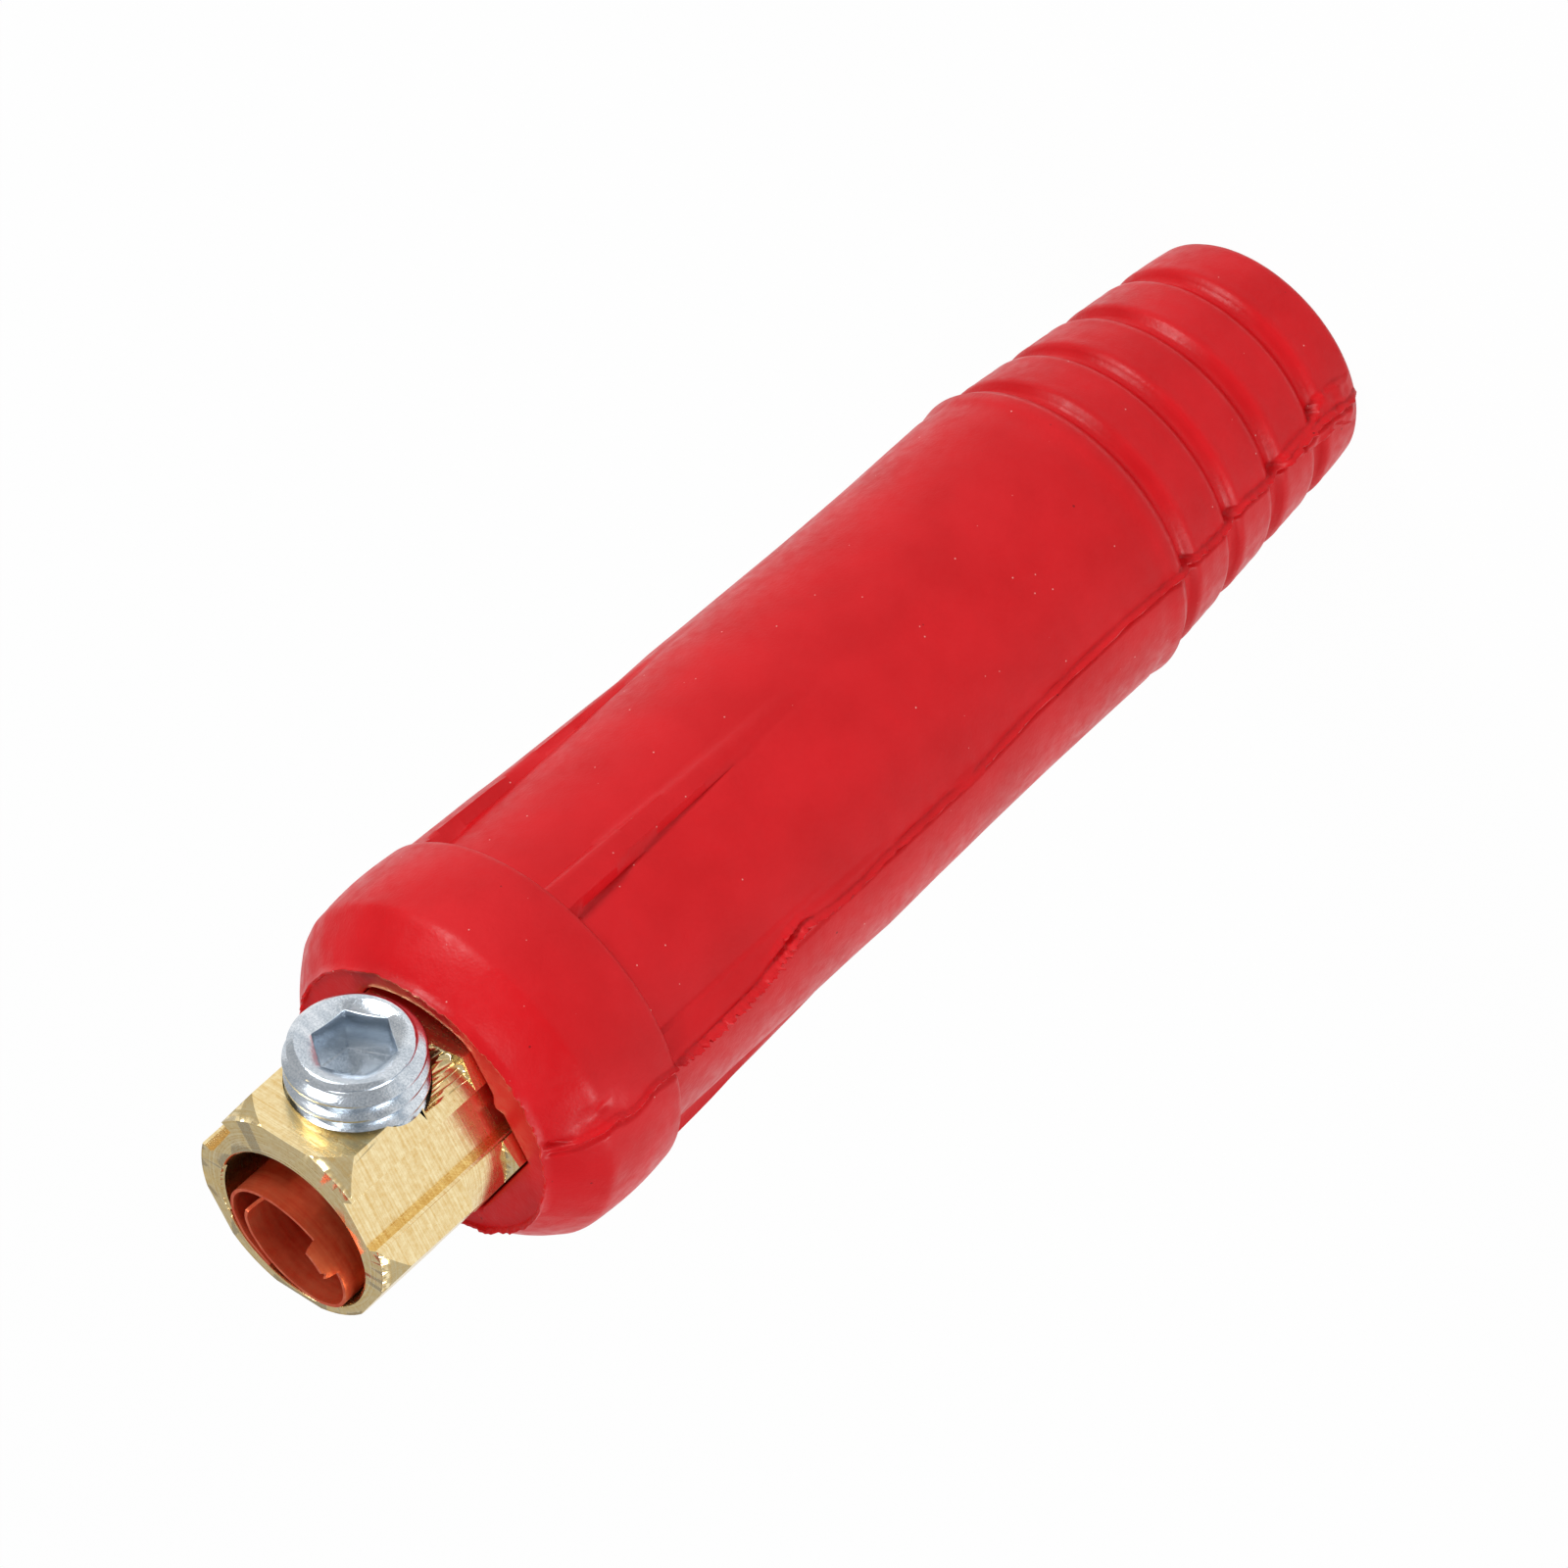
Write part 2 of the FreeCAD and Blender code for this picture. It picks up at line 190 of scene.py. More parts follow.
# The boot's mesh: its columns all round, how much closer they stand near the parting lines, from 0 to 1, and
# its rows up the outside. Edges sharper than the angle are shaded sharp.
BOOT_COLUMNS = 332
COLUMN_CROWDING = 0.6
TAIL_ROWS = 74
MIDDLE_ROWS = 56
FRONT_ROWS = 92
FRONT_ROWS_FROM = 79.0
COLLAR_ROWS = 32
BOOT_SHARP_ANGLE = 50.0
# Radius at which the boot's noise is read, so that it doesn't change with the surface.
NOISE_R = 15.0


def smooth(low, high, x):
    """0 below low, 1 above high, and an S-shaped rise between."""
    t = min(max((x - low) / (high - low), 0.0), 1.0)
    return t * t * (3.0 - 2.0 * t)


def bump(x, centre, half_width):
    """1 at the centre, falling smoothly to 0 at a half width away."""
    t = min(abs(x - centre) / half_width, 1.0)
    return (1.0 - t * t) ** 2


def between(stations, x):
    """The value at x on straight lines between stations."""
    for (x0, y0), (x1, y1) in zip(stations[:-1], stations[1:]):
        if x <= x1:
            return y0 + (y1 - y0) * max(x - x0, 0.0) / (x1 - x0)
    return stations[-1][1]


def wobble(x, y, z, seed=0.0):
    """Smooth noise from -1 to 1."""
    return noise.noise(Vector((x, y, z + 57.3 * seed)))


def curve_through(stations, x):
    """The value at x on a smooth curve through the stations, its slope at each taken from its neighbours."""
    for i in range(len(stations) - 1):
        (x0, y0), (x1, y1) = stations[i], stations[i + 1]
        if x <= x1 or i == len(stations) - 2:
            xa, ya = stations[max(i - 1, 0)]
            xb, yb = stations[min(i + 2, len(stations) - 1)]
            t = (x - x0) / (x1 - x0)
            m0 = (y1 - ya) / (x1 - xa) * (x1 - x0)
            m1 = (yb - y0) / (xb - x0) * (x1 - x0)
            return ((2 * t**3 - 3 * t**2 + 1) * y0 + (t**3 - 2 * t**2 + t) * m0
                    + (3 * t**2 - 2 * t**3) * y1 + (t**3 - t**2) * m1)


def round_the_plug(radius, angle, height):
    """A point in metres from its radius, its angle from the screw side and its height in millimetres."""
    a = math.radians(angle)
    return Vector((-radius * math.sin(a), -radius * math.cos(a), height)) * MM


def ring_line(height):
    """Radius that the tail's rings reach at a height, before their bulge."""
    return END_R + (TAIL_R - END_R) * height / TAIL_TOP - RING_DROP


def groove_share(z, groove):
    """1 on a groove's narrow floor and 0 past its rounded edges."""
    return 1.0 - smooth(GROOVE_FLOOR, GROOVE_REACH, abs(z - groove))


def plain_boot_radius(z):
    """Outer radius of the boot with no ribs, panels or parting line."""
    if z < TAIL_TOP:
        radius = ring_line(z)
        low = 0.0
        for groove in GROOVES:
            if low <= z <= groove:
                radius += RING_BULGE * math.sin(math.pi * (z - low) / (groove - low))
            radius -= GROOVE_DEPTH * groove_share(z, groove)
            edge = bump(abs(z - groove), GROOVE_REACH + GROOVE_EDGE_OUT, GROOVE_EDGE_HALF_WIDTH)
            radius += GROOVE_EDGE * edge
            low = groove
        if z > GROOVES[-1]:
            rise = LAST_RING_RISE * smooth(GROOVES[-1], GROOVES[-1] + LAST_RING_FLANK, z)
            radius += rise * (1.0 - smooth(LAST_RING_END, TAIL_TOP, z))
        return radius
    if z <= COLLAR_REAR:
        return curve_through(BODY_RADII, z)
    if z <= COLLAR_FRONT:
        along = (z - COLLAR_REAR) / (COLLAR_FRONT - COLLAR_REAR)
        return COLLAR_EDGE_R + COLLAR_CROWN * math.sin(math.pi * along)
    along = (z - COLLAR_FRONT) / (MOUTH_FACE - COLLAR_FRONT)
    crown = BEVEL_CROWN * math.sin(math.pi * along)
    return COLLAR_EDGE_R + (BEVEL_FOOT_R - COLLAR_EDGE_R) * along + crown


def nearest_parting(angle):
    """The signed angle past the nearer of the two parting lines' mean angles, and 0 or 1 for which."""
    past = (angle - PARTING_ANGLE + 90.0) % 180.0 - 90.0
    side = 0 if abs((angle - PARTING_ANGLE + 180.0) % 360.0 - 180.0) < 90.0 else 1
    return past, side


def ribbed_boot_radius(z, angle):
    """Outer radius of the boot with its six ribs and the recessed panels between them."""
    radius = plain_boot_radius(z)
    if not RIB_REAR - RIB_RUN_OUT < z < COLLAR_REAR:
        return radius
    floor = min(radius, PANEL_R + PANEL_REAR_RISE * smooth(*PANEL_RUN_OUT, z))
    past, side = nearest_parting(angle)
    from_rib = (angle - RIB_ANGLE + RIB_PITCH / 2) % RIB_PITCH - RIB_PITCH / 2
    soft = between(RIB_SOFT_SIDE, z)
    creased = between(RIB_CREASED_SIDE, z)
    fade = CREASE_FADE + CREASE_REAR_FADE * smooth(*CREASE_SHARPENS, z)
    rib = smooth(-soft - RIB_SOFT_START, -soft + RIB_SOFT_END, from_rib)
    rib *= 1.0 - smooth(creased - fade, creased + fade, from_rib)
    crease = bump(from_rib, creased + CREASE_HALF_WIDTH, CREASE_HALF_WIDTH)
    floor -= CREASE_DEPTH * crease * smooth(*CREASE_RUN_IN, z)
    if abs(past) < RIB_PITCH / 2:
        # The parting line runs along this rib: it slopes up to the line and drops at once, with a torn edge.
        line = between(PARTING, z) - PARTING_ANGLE + PARTED_RIB_DROP
        tear = math.sin(2.0 * math.pi * z / SERRATION_PITCH + 2.5 * wobble(0, side, z * 0.5))
        tear += 0.8 * wobble(3, side, z * 1.1)
        sloped = PARTED_RIB_STEP * smooth(PARTED_RIB_EDGE - 1.0, PARTED_RIB_EDGE, past)
        sloped += PARTED_RIB_SLOPE * smooth(PARTED_RIB_EDGE - 1.0, 0.5, past)
        sloped *= 1.0 - smooth(0.0, 0.6, past - line - tear * smooth(*SERRATION_START, z))
        rib += (sloped - rib) * smooth(*PARTED_RIB_START, z)
    return floor + (radius - floor) * rib


def smeared_rubber(z, angle, side):
    """How much of the smear over the tail's first groove covers a place, from 0 to 1."""
    mm_per_degree = math.radians(END_R)
    shift = 0.0 if side == 0 else 180.0
    here = (angle - shift - PARTING_ANGLE + 180.0) % 360.0 - 180.0 + PARTING_ANGLE
    into = (here - between(SMEAR_UPPER, z)) * mm_per_degree + 0.25 * wobble(4, side, z * 1.7)
    left = (between(SMEAR_LOWER, z) - here) * mm_per_degree + 0.25 * wobble(8, side, z * 1.9)
    inside = smooth(0.0, SMEAR_EDGE, into) * smooth(0.0, SMEAR_EDGE, left)
    return inside * smooth(*SMEAR_START, z) * (1.0 - smooth(*SMEAR_END, z))


def parting_flash(z, angle):
    """Height of the thin rubber left along the mould's parting line, and of what was torn or smeared."""
    past, side = nearest_parting(angle)
    if abs(past) > FLASH_NEAR_ANGLE:
        return 0.0
    radius = plain_boot_radius(z)
    wander = 0.12 * wobble(1, side, z * 1.3) + 0.06 * wobble(2, side, z * 4.0)
    off = (past - between(PARTING, z) + PARTING_ANGLE) * math.radians(radius) + wander
    ragged = 0.8 + 0.45 * wobble(5, side, z * 2.3) + 0.3 * wobble(7, side, z * 6.0)
    ragged *= 0.4 + 0.6 * smooth(0.0, 2.0, z)
    height = (FLASH_HEIGHT - FLASH_TRIMMED * smooth(*FLASH_TRIM, z)) * ragged * bump(off, *FLASH_OFF)
    height -= GUTTER_DEPTH * bump(off, *GUTTER_OFF)
    saw = SAW_HEIGHT * bump(off, *SAW_OFF) * smooth(*SAW_START, z) * (1.0 - smooth(*SAW_END, z))
    height = min(height + saw * ragged, FLASH_REACH - radius)
    # A torn fin lies folded over between two short stretches.
    height += FIN_HEIGHT * bump(z, *FIN_ALONG) * bump(off, *FIN_OFF)
    torn = TEAR_LIP_HEIGHT * bump(off, *TEAR_LIP_OFF) - TEAR_PIT_DEPTH * bump(off, *TEAR_PIT_OFF)
    height += bump(z, *TEAR_ALONG) * torn * (0.8 + 0.8 * wobble(9, side, z * 2.0))
    # The collar's flash was cut off too deep: a dent beside the line and a notch by the lip.
    uneven = 0.8 + 0.4 * wobble(off, side, z * 1.6)
    height -= DENT_DEPTH * bump(z, *DENT_ALONG) * bump(off, *DENT_OFF) * uneven
    height -= bump(z, *NOTCH_ALONG) * bump(off, *NOTCH_OFF)
    if z < SMEAR_TOP:
        fill = SMEAR_FILL * GROOVE_DEPTH * groove_share(z, GROOVES[0])
        lumpy = 0.3 * wobble(off * 0.8, side, z * 0.8)
        height += smeared_rubber(z, angle, side) * (fill + SMEAR_HEIGHT + lumpy)
    # The flash bridges the other grooves.
    for groove in GROOVES[1:]:
        height += BRIDGE_SHARE * GROOVE_DEPTH * bump(z, groove, BRIDGE_HALF_LENGTH) * bump(off, *BRIDGE_OFF)
    return height


def mouth_radius(angle):
    """The mouth's hexagonal outline, rounded out on the screw's side, with a low key on two of its flats."""
    from_flat = (angle + HEX_SIDE / 2) % HEX_SIDE - HEX_SIDE / 2
    from_screw = (angle + 180.0) % 360.0 - 180.0
    radius = MOUTH_APOTHEM / math.cos(math.radians(from_flat))
    if abs(from_screw) < SCREW_SIDE_ANGLE:
        blend = smooth(SCREW_SIDE_BLEND, SCREW_SIDE_ANGLE, abs(from_screw))
        radius = MOUTH_R + (radius - MOUTH_R) * blend
    if abs(abs(from_screw) - KEY_ANGLE) < HEX_SIDE / 2:
        off = MOUTH_APOTHEM * math.tan(math.radians(from_flat)) * math.copysign(1.0, from_screw)
        radius -= KEY_HEIGHT * bump(off, 0.0, KEY_GENTLE_SIDE if off < 0 else KEY_STEEP_SIDE)
    return radius


def boot_surface(z, angle):
    """Outer radius of the boot with everything the mould and the trimming left on it."""
    radius = ribbed_boot_radius(z, angle) + parting_flash(z, angle)
    p = round_the_plug(NOISE_R, angle, z) / MM
    sagging = 0.05 * wobble(p.x * 0.07, p.y * 0.07, p.z * 0.05)
    radius += sagging + 0.02 * wobble(p.x * 0.25, p.y * 0.25, p.z * 0.2, 1)
    if z > COLLAR_FRONT - 1.5:
        radius += 0.06 * wobble(p.x * 0.6, p.y * 0.6, p.z * 0.6, 2)
    return radius


def stretch(start, end, count):
    """Heights from start towards end, without the end."""
    return [start + (end - start) * i / count for i in range(count)]


def boot_rows():
    """The boot's closed section as rows: what part of the boot a row is on, its radius and its height."""
    lip_r = BEVEL_FOOT_R - LIP_WALL
    rows = [("edge", END_R - END_ROUNDING, 0.0), ("edge", END_R - 0.55, 0.03), ("edge", END_R - 0.25, 0.2)]
    tail_end = GROOVES[-1] + 0.9
    rows += [("side", 0, z) for z in stretch(0.5, tail_end, TAIL_ROWS)]
    rows += [("side", 0, z) for z in stretch(tail_end, FRONT_ROWS_FROM, MIDDLE_ROWS)]
    rows += [("side", 0, z) for z in stretch(FRONT_ROWS_FROM, COLLAR_REAR - 0.25, FRONT_ROWS)]
    rows += [("side", 0, COLLAR_REAR - z) for z in (0.25, 0.12, 0.02)]
    rows += [("collar", 0.45, COLLAR_REAR), ("collar", 0.15, COLLAR_REAR + 0.1)]
    rows += [("collar", 0.0, COLLAR_REAR + 0.3)]
    rows += [("side", 0, z) for z in stretch(COLLAR_REAR + 0.65, MOUTH_FACE - 0.1, COLLAR_ROWS)]
    rows += [("lip", BEVEL_FOOT_R, 0.0), ("lip", BEVEL_FOOT_R - 0.02, 0.5), ("lip", BEVEL_FOOT_R - 0.1, 1.0)]
    rows += [("lip", lip_r, 0.85), ("lip", lip_r - 0.1, 0.0)]
    rows += [("face", share, MOUTH_FACE) for share in (0.75, 0.5, 0.25)]
    rows += [("mouth", MOUTH_ROUNDING, MOUTH_FACE), ("mouth", 0.22, MOUTH_FACE - 0.06)]
    rows += [("mouth", 0.07, MOUTH_FACE - 0.22), ("mouth", 0.0, MOUTH_FACE - MOUTH_ROUNDING)]
    rows += [("mouth", 0.0, z) for z in stretch(MOUTH_FACE - 1.5, SEAT, 6)]
    rows += [("mouth", 0.0, SEAT), ("bore", PASSAGE_R + BORE_CHAMFER, SEAT)]
    rows += [("bore", PASSAGE_R, SEAT - BORE_CHAMFER)]
    rows += [("bore", PASSAGE_R, GRIP_LENGTH + 2.0), ("bore", GRIP_R, GRIP_LENGTH)]
    rows += [("bore", GRIP_R, BORE_CHAMFER), ("bore", GRIP_R + BORE_CHAMFER, 0.0)]
    rows += [("bore", END_R - 1.2, 0.0), ("bore", END_R - END_ROUNDING, 0.0)]
    return rows


def deselect():
    """Operators act on all that is selected, so each piece starts with nothing selected."""
    for item in bpy.context.selected_objects:
        item.select_set(False)


def rolled_sheet(name, columns, rows, place):
    """A flat grid bent to shape: each column and row goes where place says, and edges that meet merge."""
    deselect()
    bpy.ops.mesh.primitive_grid_add(x_subdivisions=columns, y_subdivisions=rows, size=1)
    piece = bpy.context.object
    piece.name = piece.data.name = name
    for vertex in piece.data.vertices:
        vertex.co = place(round((vertex.co.x + 0.5) * columns), round((vertex.co.y + 0.5) * rows))
    bpy.ops.object.mode_set(mode="EDIT")
    bpy.ops.mesh.select_all(action="SELECT")
    bpy.ops.mesh.remove_doubles(threshold=MERGE_DISTANCE)
    bpy.ops.mesh.normals_make_consistent(inside=False)
    bpy.ops.object.mode_set(mode="OBJECT")
    return piece


def model_boot():
    """The boot, with its columns crowded together near the parting lines."""
    rows = boot_rows()

    def place(column, row):
        even = 360.0 * (column % BOOT_COLUMNS) / BOOT_COLUMNS
        crowd = COLUMN_CROWDING * math.degrees(math.sin(math.radians(2 * even))) / 2
        angle = even + PARTING_ANGLE - crowd
        part, radius, z = rows[row]
        if part == "side":
            radius = boot_surface(z, angle)
        elif part == "collar":
            radius = boot_surface(COLLAR_REAR + 0.3, angle) - radius
        elif part == "lip":
            p = round_the_plug(NOISE_R, angle, 0.0) / MM
            tear = bump(angle % 360.0, *LIP_TEAR)
            torn = 0.65 + 0.5 * wobble(p.x * 0.5, p.y * 0.5, 0) + 0.45 * wobble(p.x * 1.7, p.y * 1.7, 9)
            torn += 0.9 * tear * (0.7 + 0.8 * wobble(p.x * 1.1, p.y * 1.1, 4))
            z = MOUTH_FACE + LIP_HEIGHT * max(torn, LIP_LEAST) * z
            radius += 0.1 * wobble(p.x * 0.4, p.y * 0.4, 2) + 0.3 * (z - MOUTH_FACE) * tear
        elif part == "mouth":
            radius += mouth_radius(angle)
        elif part == "face":
            mouth = mouth_radius(angle) + MOUTH_ROUNDING
            radius = mouth + (BEVEL_FOOT_R - LIP_WALL - 0.1 - mouth) * radius
            z += 0.05 * wobble(radius * 1.2, angle * 0.05, 3)
        return round_the_plug(radius, angle, z)

    boot = rolled_sheet("boot_moulding", BOOT_COLUMNS, len(rows) - 1, place)
    bpy.ops.object.shade_smooth_by_angle(angle=math.radians(BOOT_SHARP_ANGLE))
    return boot


# Clamping screw: M12 thread, and a socket for a 6 mm key.
SCREW_AXIS_Z = 118.6
SCREW_TOP = -14.0
SCREW_LENGTH = 10.0
THREAD_PITCH = 1.75
THREAD_R = 5.98
THREAD_ROOT_R = 5.02
THREAD_ROOT_SHARE = 0.09
THREAD_FLANK_SHARE = 0.34
SCREW_RIM_R = 4.97
SCREW_RIM_DEPTH = 0.1
SCREW_ROUNDING = 1.3
SCREW_TIP_R = 4.9
SCREW_EDGE_R = 4.86
SCREW_FACE_R = 4.7
SINK_R = 4.45
SINK_SLOPE = 0.32
SOCKET_APOTHEM = 3.15
SOCKET_DEPTH = 5.0
SOCKET_TURN = 24.0
SCREW_COLUMNS = 96
ROWS_PER_PITCH = 18
THREAD_TURNS = 8
SCREW_TOP_ROWS = 9
SCREW_SHARP_ANGLE = 40.0


def thread_radius(along, depth):
    """Radius of the M12 thread, where along counts pitches, kept inside the rounded rim and the tip."""
    t = along % 1.0
    rise = min(max(0.5 - abs(t - 0.5) - THREAD_ROOT_SHARE, 0.0) / THREAD_FLANK_SHARE, 1.0)
    radius = THREAD_ROOT_R + (THREAD_R - THREAD_ROOT_R) * rise
    sunk = min((depth - SCREW_RIM_DEPTH) / SCREW_ROUNDING, 1.0)
    top_limit = SCREW_RIM_R + (THREAD_R - SCREW_RIM_R) * math.sin(sunk * math.pi / 2)
    tip_limit = SCREW_TIP_R + (SCREW_LENGTH - depth)
    return min(radius, top_limit, tip_limit)


def model_screw():
    """The screw: a closed tip, rows that climb with the thread, the rim, the countersink and the socket."""
    thread_rows = ROWS_PER_PITCH * THREAD_TURNS

    def place(column, row):
        turn = 2.0 * math.pi * column / SCREW_COLUMNS
        hexagon = SOCKET_APOTHEM / math.cos(math.radians(math.degrees(turn) % HEX_SIDE - HEX_SIDE / 2))
        sink = (SINK_R - hexagon) * SINK_SLOPE
        # Radius and depth of each row from the rim to the middle of the socket's floor.
        top = [
            (SCREW_EDGE_R, 0.02), (SCREW_FACE_R, 0.0), (SINK_R + 0.07, 0.03), (SINK_R - 0.05, 0.08),
            (hexagon + 0.07, sink + 0.06), (hexagon, sink + 0.16), (hexagon, SOCKET_DEPTH - 0.1),
            (hexagon - 0.1, SOCKET_DEPTH), (0.0, SOCKET_DEPTH),
        ]
        if row == 0:
            radius, depth = 0.0, SCREW_LENGTH
        elif row <= thread_rows + 1:
            share = (row - 1) / ROWS_PER_PITCH
            height = THREAD_PITCH * (share - 1.0 + column / SCREW_COLUMNS)
            depth = SCREW_LENGTH - min(max(height, 0.0), SCREW_LENGTH - SCREW_RIM_DEPTH)
            radius = thread_radius(share, depth)
        else:
            radius, depth = top[row - thread_rows - 2]
        angle = turn + math.radians(SOCKET_TURN)
        x = radius * math.cos(angle)
        z = SCREW_AXIS_Z + radius * math.sin(angle)
        return Vector((x, SCREW_TOP + depth, z)) * MM

    screw = rolled_sheet("threaded_screw", SCREW_COLUMNS, thread_rows + 1 + SCREW_TOP_ROWS, place)
    bpy.ops.object.shade_smooth_by_angle(angle=math.radians(SCREW_SHARP_ANGLE))
    return screw


# Copper liner: one sheet rolled to an oval. Its tab and notch are placed by the angle that it has swept.
LINER_LONG = 6.5
LINER_SHORT = 4.52
LINER_TILT = -25.5
LINER_CENTRE = (-0.05, 3.1)
LINER_THICKNESS = 0.3
LINER_FOOT = 113.5
LINER_RIM = 128.3
LINER_START = 85.0
LINER_SWEEP = 460.0
LINER_CURL_START = 200.0
LINER_CURL = 2.0
LINER_TAB = (188.0, 217.0)
LINER_TAB_HEIGHT = 1.3
LINER_TAB_EDGE = 1.5
LINER_NOTCH = 212.5
LINER_NOTCH_HALF_WIDTH = 2.6
LINER_NOTCH_DEPTH = 0.35
LINER_UNEVEN = 0.05
LINER_END_RUN = 24.0
LINER_END_SLANT = 2.2
LINER_COLUMNS = 276
LINER_ROWS = 24
LINER_SHARP_ANGLE = 35.0


def model_liner():
    """The liner: a sheet coiled inwards past its first turn, then given its thickness."""
    def place(column, row):
        sweep = LINER_SWEEP * column / LINER_COLUMNS
        curl = LINER_CURL * max(0.0, (sweep - LINER_CURL_START) / (LINER_SWEEP - LINER_CURL_START)) ** 2
        angle = math.radians(LINER_START - sweep)
        along = (LINER_LONG - curl) * math.cos(angle)
        across = (LINER_SHORT - curl) * math.sin(angle)
        tilt = math.radians(LINER_TILT)
        tab = smooth(LINER_TAB[0] - LINER_TAB_EDGE, LINER_TAB[0] + LINER_TAB_EDGE, sweep)
        tab *= 1.0 - smooth(LINER_TAB[1] - LINER_TAB_EDGE, LINER_TAB[1] + LINER_TAB_EDGE, sweep)
        rim = LINER_RIM + LINER_TAB_HEIGHT * tab - LINER_UNEVEN * (1.0 + wobble(sweep * 0.05, 0, 0))
        rim -= LINER_NOTCH_DEPTH * bump(sweep, LINER_NOTCH, LINER_NOTCH_HALF_WIDTH)
        rim -= LINER_END_SLANT * max(0.0, sweep - LINER_SWEEP + LINER_END_RUN) / LINER_END_RUN
        height = LINER_FOOT + (rim - LINER_FOOT) * row / LINER_ROWS
        x = LINER_CENTRE[0] + along * math.cos(tilt) - across * math.sin(tilt)
        y = LINER_CENTRE[1] + along * math.sin(tilt) + across * math.cos(tilt)
        return Vector((x, y, height)) * MM

    liner = rolled_sheet("rolled_liner", LINER_COLUMNS, LINER_ROWS, place)
    wall = liner.modifiers.new("wall", "SOLIDIFY")
    wall.thickness = LINER_THICKNESS * MM
    wall.offset = -1.0
    bpy.ops.object.modifier_apply(modifier=wall.name)
    bpy.ops.object.shade_smooth_by_angle(angle=math.radians(LINER_SHARP_ANGLE))
    return liner


# Core: facets meeting below the first angle are joined, and below the second are level. Those of a round
# meet below the third, along more than this share of each one's outline.
JOIN_ANGLE = math.radians(0.5)
LEVEL_ANGLE = math.radians(0.6)
ROUND_ANGLE = math.radians(24)
ROUND_SHARE = 0.45


def shade_flats(mesh):
    """Shades flat the faces that meet few neighbours at a small angle, as milled flats do."""
    beside = {}
    for face in mesh.polygons:
        for key in face.edge_keys:
            beside.setdefault(key, []).append(face)
    for face in mesh.polygons:
        outline = rounded = 0.0
        for key in face.edge_keys:
            turn = max(other.normal.angle(face.normal) for other in beside[key])
            if turn > LEVEL_ANGLE:
                length = (mesh.vertices[key[0]].co - mesh.vertices[key[1]].co).length
                outline += length
                rounded += length if turn < ROUND_ANGLE else 0.0
        face.use_smooth = rounded > ROUND_SHARE * outline


def model_core():
    """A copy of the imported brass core, with its rounds shaded smooth and its milled flats flat."""
    deselect()
    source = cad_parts["brass_core"]
    core = source.copy()
    core.data = source.data.copy()
    core.name = core.data.name = "machined_core"
    core.parent = None
    bpy.context.scene.collection.objects.link(core)
    bpy.context.view_layer.objects.active = core
    core.select_set(True)
    bpy.ops.object.mode_set(mode="EDIT")
    bpy.ops.mesh.select_all(action="SELECT")
    bpy.ops.mesh.remove_doubles(threshold=MERGE_DISTANCE)
    bpy.ops.mesh.dissolve_limited(angle_limit=JOIN_ANGLE)
    bpy.ops.object.mode_set(mode="OBJECT")
    bpy.ops.object.shade_smooth_by_angle(angle=ROUND_ANGLE)
    shade_flats(core.data)
    bpy.ops.object.mode_set(mode="EDIT")
    bpy.ops.mesh.select_all(action="SELECT")
    bpy.ops.mesh.quads_convert_to_tris(quad_method="BEAUTY", ngon_method="BEAUTY")
    bpy.ops.object.mode_set(mode="OBJECT")
    largest = core.modifiers.new("largest_faces_lead", "WEIGHTED_NORMAL")
    largest.keep_sharp = True
    bpy.ops.object.modifier_apply(modifier=largest.name)
    return core


# Rubber: its colours and shine, what lies on it, and the sizes and heights of its patterns.
RUBBER_DEEP = "#CE0F17"
RUBBER_PALE = "#D8161E"
RUBBER_SPECULAR = 0.23
DUST_COLOUR = "#F6CFC8"
SPECK_COLOUR = "#5A0A0C"
CLOUD_SIZE = 7.0
DUST_SPACING = 1.9
SPECK_SPACING = 4.1
SHEEN_SIZE = 1.1
WRINKLE_SIZE = 2.4
WRINKLE_HEIGHT = 0.035
GRAIN_SIZE = 0.3
GRAIN_HEIGHT = 0.024


def from_hex(code):
    """An sRGB hex colour as a linear colour with alpha."""
    channels = [int(code[i:i + 2], 16) / 255.0 for i in (1, 3, 5)]
    linear = [c / 12.92 if c <= 0.04045 else ((c + 0.055) / 1.055) ** 2.4 for c in channels]
    return (*linear, 1.0)


def add_node(tree, kind, inputs=None, links=None, **settings):
    """Adds a node, sets its fields and socket values, and links sockets of earlier nodes into it."""
    node = tree.nodes.new(kind)
    for name, value in settings.items():
        setattr(node, name, value)
    for name, value in (inputs or {}).items():
        node.inputs[name].default_value = value
    for name, output in (links or {}).items():
        tree.links.new(output, node.inputs[name])
    return node


def new_material(name):
    """An empty material and its node tree."""
    material = bpy.data.materials.new(name)
    material.use_nodes = True
    material.node_tree.nodes.clear()
    return material, material.node_tree


def finish_material(tree, shader):
    """Links the shader to the material's output."""
    add_node(tree, "ShaderNodeOutputMaterial", links={"Surface": shader.outputs[0]})


def per_mm(size):
    """The texture scale that gives a pattern of this size in millimetres on Object coordinates in metres."""
    return 1.0 / (size * MM)


